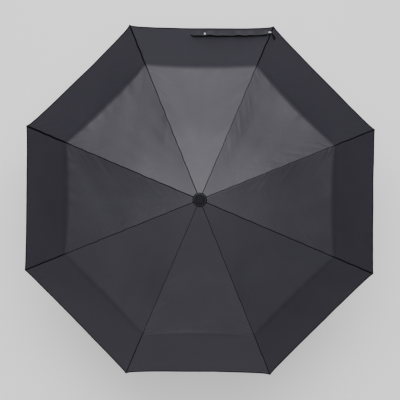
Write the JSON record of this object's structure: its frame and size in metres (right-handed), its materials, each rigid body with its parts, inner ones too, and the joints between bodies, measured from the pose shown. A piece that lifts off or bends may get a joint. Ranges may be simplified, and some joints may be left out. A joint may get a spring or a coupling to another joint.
{
  "type": "folding umbrella",
  "caption": "Compact folding umbrella, opened: pleated dark cloth canopy on a jointed rib frame, telescopic shaft, short grip with a release button.",
  "frame": {"origin": "centre of the handle's flat end face", "axes": "+Z along the shaft from the handle to the top cap; ribs at 22.5 degrees from +X and every 45 degrees; the tie strap is on the panel facing +Y and the release button faces +X"},
  "size_m": [0.9022, 0.9022, 0.6052],
  "materials": {
    "canopy_cloth": "dark charcoal woven polyester with a soft sheen",
    "black_plastic": "moulded, satin",
    "soft_touch_grip": "soft-touch coating",
    "black_painted_steel": "black enamel",
    "grey_alloy": "mill finish",
    "plated_tube": "bright plating",
    "steel_wire": "bright drawn wire"
  },
  "bodies": {
    "handle": {"handle_grip": "soft_touch_grip", "handle_end_cap": "black_plastic", "lower_tube": "plated_tube"},
    "button": {"release_button": "black_plastic"},
    "mid_shaft": {"middle_tube": "plated_tube"},
    "shaft_top": {"upper_tube": "black_painted_steel", "top_notch": "black_plastic", "notch_ring_wire": "steel_wire", "top_cap": "black_plastic", "canopy_panel_1": "canopy_cloth", "canopy_panel_2": "canopy_cloth", "canopy_panel_3": "canopy_cloth", "canopy_panel_4": "canopy_cloth", "canopy_panel_5": "canopy_cloth", "canopy_panel_6": "canopy_cloth", "canopy_panel_7": "canopy_cloth", "canopy_panel_8": "canopy_cloth", "tie_strap": "canopy_cloth"},
    "runner": {"runner": "black_plastic", "runner_ring_wire": "steel_wire"},
    "inner_rib_1": {"inner_rib_1": "black_painted_steel"},
    "inner_rib_2": {"inner_rib_2": "black_painted_steel"},
    "inner_rib_3": {"inner_rib_3": "black_painted_steel"},
    "inner_rib_4": {"inner_rib_4": "black_painted_steel"},
    "inner_rib_5": {"inner_rib_5": "black_painted_steel"},
    "inner_rib_6": {"inner_rib_6": "black_painted_steel"},
    "inner_rib_7": {"inner_rib_7": "black_painted_steel"},
    "inner_rib_8": {"inner_rib_8": "black_painted_steel"},
    "stretcher_1": {"stretcher_1": "black_painted_steel"},
    "stretcher_2": {"stretcher_2": "black_painted_steel"},
    "stretcher_3": {"stretcher_3": "black_painted_steel"},
    "stretcher_4": {"stretcher_4": "black_painted_steel"},
    "stretcher_5": {"stretcher_5": "black_painted_steel"},
    "stretcher_6": {"stretcher_6": "black_painted_steel"},
    "stretcher_7": {"stretcher_7": "black_painted_steel"},
    "stretcher_8": {"stretcher_8": "black_painted_steel"},
    "control_link_1": {"control_link_1": "black_painted_steel"},
    "control_link_2": {"control_link_2": "black_painted_steel"},
    "control_link_3": {"control_link_3": "black_painted_steel"},
    "control_link_4": {"control_link_4": "black_painted_steel"},
    "control_link_5": {"control_link_5": "black_painted_steel"},
    "control_link_6": {"control_link_6": "black_painted_steel"},
    "control_link_7": {"control_link_7": "black_painted_steel"},
    "control_link_8": {"control_link_8": "black_painted_steel"},
    "middle_rib_1": {"middle_rib_1": "grey_alloy"},
    "middle_rib_2": {"middle_rib_2": "grey_alloy"},
    "middle_rib_3": {"middle_rib_3": "grey_alloy"},
    "middle_rib_4": {"middle_rib_4": "grey_alloy"},
    "middle_rib_5": {"middle_rib_5": "grey_alloy"},
    "middle_rib_6": {"middle_rib_6": "grey_alloy"},
    "middle_rib_7": {"middle_rib_7": "grey_alloy"},
    "middle_rib_8": {"middle_rib_8": "grey_alloy"},
    "outer_rib_1": {"outer_rib_1": "black_painted_steel"},
    "outer_rib_2": {"outer_rib_2": "black_painted_steel"},
    "outer_rib_3": {"outer_rib_3": "black_painted_steel"},
    "outer_rib_4": {"outer_rib_4": "black_painted_steel"},
    "outer_rib_5": {"outer_rib_5": "black_painted_steel"},
    "outer_rib_6": {"outer_rib_6": "black_painted_steel"},
    "outer_rib_7": {"outer_rib_7": "black_painted_steel"},
    "outer_rib_8": {"outer_rib_8": "black_painted_steel"}
  },
  "joints": [
    {"name": "lower_slide", "type": "slide", "parent": "handle", "child": "mid_shaft", "axis": [0, 0, 1], "range_m": [-0.165, 0]},
    {"name": "upper_slide", "type": "slide", "parent": "mid_shaft", "child": "shaft_top", "axis": [0, 0, 1], "range_m": [-0.164, 0]},
    {"name": "button_press", "type": "slide", "parent": "handle", "child": "button", "axis": [-1, 0, 0], "range_m": [0, 0.0025], "stiffness_N_per_m": 900},
    {"name": "canopy_fold", "type": "hinge", "parent": "shaft_top", "child": "inner_rib_1", "pos_m": [0.00878, 0.00364, 0.588], "axis": [-0.3827, 0.9239, 0], "range_deg": [0, 73], "deforming": ["canopy_panel_1", "canopy_panel_2", "canopy_panel_3", "canopy_panel_4", "canopy_panel_5", "canopy_panel_6", "canopy_panel_7", "canopy_panel_8", "tie_strap"]},
    {"name": "inner_fold_2", "type": "hinge", "parent": "shaft_top", "child": "inner_rib_2", "pos_m": [0.00364, 0.00878, 0.588], "axis": [-0.9239, 0.3827, 0], "range_deg": [0, 73]},
    {"name": "inner_fold_3", "type": "hinge", "parent": "shaft_top", "child": "inner_rib_3", "pos_m": [-0.00364, 0.00878, 0.588], "axis": [-0.9239, -0.3827, 0], "range_deg": [0, 73]},
    {"name": "inner_fold_4", "type": "hinge", "parent": "shaft_top", "child": "inner_rib_4", "pos_m": [-0.00878, 0.00364, 0.588], "axis": [-0.3827, -0.9239, 0], "range_deg": [0, 73]},
    {"name": "inner_fold_5", "type": "hinge", "parent": "shaft_top", "child": "inner_rib_5", "pos_m": [-0.00878, -0.00364, 0.588], "axis": [0.3827, -0.9239, 0], "range_deg": [0, 73]},
    {"name": "inner_fold_6", "type": "hinge", "parent": "shaft_top", "child": "inner_rib_6", "pos_m": [-0.00364, -0.00878, 0.588], "axis": [0.9239, -0.3827, 0], "range_deg": [0, 73]},
    {"name": "inner_fold_7", "type": "hinge", "parent": "shaft_top", "child": "inner_rib_7", "pos_m": [0.00364, -0.00878, 0.588], "axis": [0.9239, 0.3827, 0], "range_deg": [0, 73]},
    {"name": "inner_fold_8", "type": "hinge", "parent": "shaft_top", "child": "inner_rib_8", "pos_m": [0.00878, -0.00364, 0.588], "axis": [0.3827, 0.9239, 0], "range_deg": [0, 73]},
    {"name": "stretcher_swing_1", "type": "hinge", "parent": "inner_rib_1", "child": "stretcher_1", "pos_m": [0.07794, 0.03228, 0.56583], "axis": [-0.3827, 0.9239, 0], "range_deg": [-146.1, 0]},
    {"name": "link_swing_1", "type": "hinge", "parent": "stretcher_1", "child": "control_link_1", "pos_m": [0.06554, 0.02715, 0.56186], "axis": [-0.3827, 0.9239, 0], "range_deg": [0, 146.1]},
    {"name": "middle_fold_1", "type": "hinge", "parent": "inner_rib_1", "child": "middle_rib_1", "pos_m": [0.16879, 0.06991, 0.54688], "axis": [-0.3827, 0.9239, 0], "range_deg": [-178.6, 0]},
    {"name": "outer_fold_1", "type": "hinge", "parent": "middle_rib_1", "child": "outer_rib_1", "pos_m": [0.33547, 0.13896, 0.48712], "axis": [-0.3827, 0.9239, 0], "range_deg": [0, 154.6]},
    {"name": "stretcher_swing_2", "type": "hinge", "parent": "inner_rib_2", "child": "stretcher_2", "pos_m": [0.03228, 0.07794, 0.56583], "axis": [-0.9239, 0.3827, 0], "range_deg": [-146.1, 0]},
    {"name": "link_swing_2", "type": "hinge", "parent": "stretcher_2", "child": "control_link_2", "pos_m": [0.02715, 0.06554, 0.56186], "axis": [-0.9239, 0.3827, 0], "range_deg": [0, 146.1]},
    {"name": "middle_fold_2", "type": "hinge", "parent": "inner_rib_2", "child": "middle_rib_2", "pos_m": [0.06991, 0.16879, 0.54688], "axis": [-0.9239, 0.3827, 0], "range_deg": [-178.6, 0]},
    {"name": "outer_fold_2", "type": "hinge", "parent": "middle_rib_2", "child": "outer_rib_2", "pos_m": [0.13896, 0.33547, 0.48712], "axis": [-0.9239, 0.3827, 0], "range_deg": [0, 154.6]},
    {"name": "stretcher_swing_3", "type": "hinge", "parent": "inner_rib_3", "child": "stretcher_3", "pos_m": [-0.03228, 0.07794, 0.56583], "axis": [-0.9239, -0.3827, 0], "range_deg": [-146.1, 0]},
    {"name": "link_swing_3", "type": "hinge", "parent": "stretcher_3", "child": "control_link_3", "pos_m": [-0.02715, 0.06554, 0.56186], "axis": [-0.9239, -0.3827, 0], "range_deg": [0, 146.1]},
    {"name": "middle_fold_3", "type": "hinge", "parent": "inner_rib_3", "child": "middle_rib_3", "pos_m": [-0.06991, 0.16879, 0.54688], "axis": [-0.9239, -0.3827, 0], "range_deg": [-178.6, 0]},
    {"name": "outer_fold_3", "type": "hinge", "parent": "middle_rib_3", "child": "outer_rib_3", "pos_m": [-0.13896, 0.33547, 0.48712], "axis": [-0.9239, -0.3827, 0], "range_deg": [0, 154.6]},
    {"name": "stretcher_swing_4", "type": "hinge", "parent": "inner_rib_4", "child": "stretcher_4", "pos_m": [-0.07794, 0.03228, 0.56583], "axis": [-0.3827, -0.9239, 0], "range_deg": [-146.1, 0]},
    {"name": "link_swing_4", "type": "hinge", "parent": "stretcher_4", "child": "control_link_4", "pos_m": [-0.06554, 0.02715, 0.56186], "axis": [-0.3827, -0.9239, 0], "range_deg": [0, 146.1]},
    {"name": "middle_fold_4", "type": "hinge", "parent": "inner_rib_4", "child": "middle_rib_4", "pos_m": [-0.16879, 0.06991, 0.54688], "axis": [-0.3827, -0.9239, 0], "range_deg": [-178.6, 0]},
    {"name": "outer_fold_4", "type": "hinge", "parent": "middle_rib_4", "child": "outer_rib_4", "pos_m": [-0.33547, 0.13896, 0.48712], "axis": [-0.3827, -0.9239, 0], "range_deg": [0, 154.6]},
    {"name": "stretcher_swing_5", "type": "hinge", "parent": "inner_rib_5", "child": "stretcher_5", "pos_m": [-0.07794, -0.03228, 0.56583], "axis": [0.3827, -0.9239, 0], "range_deg": [-146.1, 0]},
    {"name": "link_swing_5", "type": "hinge", "parent": "stretcher_5", "child": "control_link_5", "pos_m": [-0.06554, -0.02715, 0.56186], "axis": [0.3827, -0.9239, 0], "range_deg": [0, 146.1]},
    {"name": "middle_fold_5", "type": "hinge", "parent": "inner_rib_5", "child": "middle_rib_5", "pos_m": [-0.16879, -0.06991, 0.54688], "axis": [0.3827, -0.9239, 0], "range_deg": [-178.6, 0]},
    {"name": "outer_fold_5", "type": "hinge", "parent": "middle_rib_5", "child": "outer_rib_5", "pos_m": [-0.33547, -0.13896, 0.48712], "axis": [0.3827, -0.9239, 0], "range_deg": [0, 154.6]},
    {"name": "stretcher_swing_6", "type": "hinge", "parent": "inner_rib_6", "child": "stretcher_6", "pos_m": [-0.03228, -0.07794, 0.56583], "axis": [0.9239, -0.3827, 0], "range_deg": [-146.1, 0]},
    {"name": "link_swing_6", "type": "hinge", "parent": "stretcher_6", "child": "control_link_6", "pos_m": [-0.02715, -0.06554, 0.56186], "axis": [0.9239, -0.3827, 0], "range_deg": [0, 146.1]},
    {"name": "middle_fold_6", "type": "hinge", "parent": "inner_rib_6", "child": "middle_rib_6", "pos_m": [-0.06991, -0.16879, 0.54688], "axis": [0.9239, -0.3827, 0], "range_deg": [-178.6, 0]},
    {"name": "outer_fold_6", "type": "hinge", "parent": "middle_rib_6", "child": "outer_rib_6", "pos_m": [-0.13896, -0.33547, 0.48712], "axis": [0.9239, -0.3827, 0], "range_deg": [0, 154.6]},
    {"name": "stretcher_swing_7", "type": "hinge", "parent": "inner_rib_7", "child": "stretcher_7", "pos_m": [0.03228, -0.07794, 0.56583], "axis": [0.9239, 0.3827, 0], "range_deg": [-146.1, 0]},
    {"name": "link_swing_7", "type": "hinge", "parent": "stretcher_7", "child": "control_link_7", "pos_m": [0.02715, -0.06554, 0.56186], "axis": [0.9239, 0.3827, 0], "range_deg": [0, 146.1]},
    {"name": "middle_fold_7", "type": "hinge", "parent": "inner_rib_7", "child": "middle_rib_7", "pos_m": [0.06991, -0.16879, 0.54688], "axis": [0.9239, 0.3827, 0], "range_deg": [-178.6, 0]},
    {"name": "outer_fold_7", "type": "hinge", "parent": "middle_rib_7", "child": "outer_rib_7", "pos_m": [0.13896, -0.33547, 0.48712], "axis": [0.9239, 0.3827, 0], "range_deg": [0, 154.6]},
    {"name": "stretcher_swing_8", "type": "hinge", "parent": "inner_rib_8", "child": "stretcher_8", "pos_m": [0.07794, -0.03228, 0.56583], "axis": [0.3827, 0.9239, 0], "range_deg": [-146.1, 0]},
    {"name": "link_swing_8", "type": "hinge", "parent": "stretcher_8", "child": "control_link_8", "pos_m": [0.06554, -0.02715, 0.56186], "axis": [0.3827, 0.9239, 0], "range_deg": [0, 146.1]},
    {"name": "middle_fold_8", "type": "hinge", "parent": "inner_rib_8", "child": "middle_rib_8", "pos_m": [0.16879, -0.06991, 0.54688], "axis": [0.3827, 0.9239, 0], "range_deg": [-178.6, 0]},
    {"name": "outer_fold_8", "type": "hinge", "parent": "middle_rib_8", "child": "outer_rib_8", "pos_m": [0.33547, -0.13896, 0.48712], "axis": [0.3827, 0.9239, 0], "range_deg": [0, 154.6]},
    {"name": "runner_travel", "type": "hinge", "parent": "stretcher_1", "child": "runner", "pos_m": [0.00878, 0.00364, 0.54366], "axis": [-0.3827, 0.9239, 0], "range_deg": [0, 73.1]}
  ],
  "couplings": [
    {"joint": "inner_fold_2", "follows": "canopy_fold", "ratio": 1},
    {"joint": "inner_fold_3", "follows": "canopy_fold", "ratio": 1},
    {"joint": "inner_fold_4", "follows": "canopy_fold", "ratio": 1},
    {"joint": "inner_fold_5", "follows": "canopy_fold", "ratio": 1},
    {"joint": "inner_fold_6", "follows": "canopy_fold", "ratio": 1},
    {"joint": "inner_fold_7", "follows": "canopy_fold", "ratio": 1},
    {"joint": "inner_fold_8", "follows": "canopy_fold", "ratio": 1},
    {"joint": "stretcher_swing_1", "follows": "canopy_fold", "ratio": -2},
    {"joint": "link_swing_1", "follows": "canopy_fold", "ratio": 2},
    {"joint": "middle_fold_1", "follows": "canopy_fold", "ratio": -2.4452},
    {"joint": "outer_fold_1", "follows": "canopy_fold", "ratio": 2.1164},
    {"joint": "stretcher_swing_2", "follows": "canopy_fold", "ratio": -2},
    {"joint": "link_swing_2", "follows": "canopy_fold", "ratio": 2},
    {"joint": "middle_fold_2", "follows": "canopy_fold", "ratio": -2.4452},
    {"joint": "outer_fold_2", "follows": "canopy_fold", "ratio": 2.1164},
    {"joint": "stretcher_swing_3", "follows": "canopy_fold", "ratio": -2},
    {"joint": "link_swing_3", "follows": "canopy_fold", "ratio": 2},
    {"joint": "middle_fold_3", "follows": "canopy_fold", "ratio": -2.4452},
    {"joint": "outer_fold_3", "follows": "canopy_fold", "ratio": 2.1164},
    {"joint": "stretcher_swing_4", "follows": "canopy_fold", "ratio": -2},
    {"joint": "link_swing_4", "follows": "canopy_fold", "ratio": 2},
    {"joint": "middle_fold_4", "follows": "canopy_fold", "ratio": -2.4452},
    {"joint": "outer_fold_4", "follows": "canopy_fold", "ratio": 2.1164},
    {"joint": "stretcher_swing_5", "follows": "canopy_fold", "ratio": -2},
    {"joint": "link_swing_5", "follows": "canopy_fold", "ratio": 2},
    {"joint": "middle_fold_5", "follows": "canopy_fold", "ratio": -2.4452},
    {"joint": "outer_fold_5", "follows": "canopy_fold", "ratio": 2.1164},
    {"joint": "stretcher_swing_6", "follows": "canopy_fold", "ratio": -2},
    {"joint": "link_swing_6", "follows": "canopy_fold", "ratio": 2},
    {"joint": "middle_fold_6", "follows": "canopy_fold", "ratio": -2.4452},
    {"joint": "outer_fold_6", "follows": "canopy_fold", "ratio": 2.1164},
    {"joint": "stretcher_swing_7", "follows": "canopy_fold", "ratio": -2},
    {"joint": "link_swing_7", "follows": "canopy_fold", "ratio": 2},
    {"joint": "middle_fold_7", "follows": "canopy_fold", "ratio": -2.4452},
    {"joint": "outer_fold_7", "follows": "canopy_fold", "ratio": 2.1164},
    {"joint": "stretcher_swing_8", "follows": "canopy_fold", "ratio": -2},
    {"joint": "link_swing_8", "follows": "canopy_fold", "ratio": 2},
    {"joint": "middle_fold_8", "follows": "canopy_fold", "ratio": -2.4452},
    {"joint": "outer_fold_8", "follows": "canopy_fold", "ratio": 2.1164},
    {"joint": "runner_travel", "follows": "canopy_fold", "ratio": 1}
  ]
}
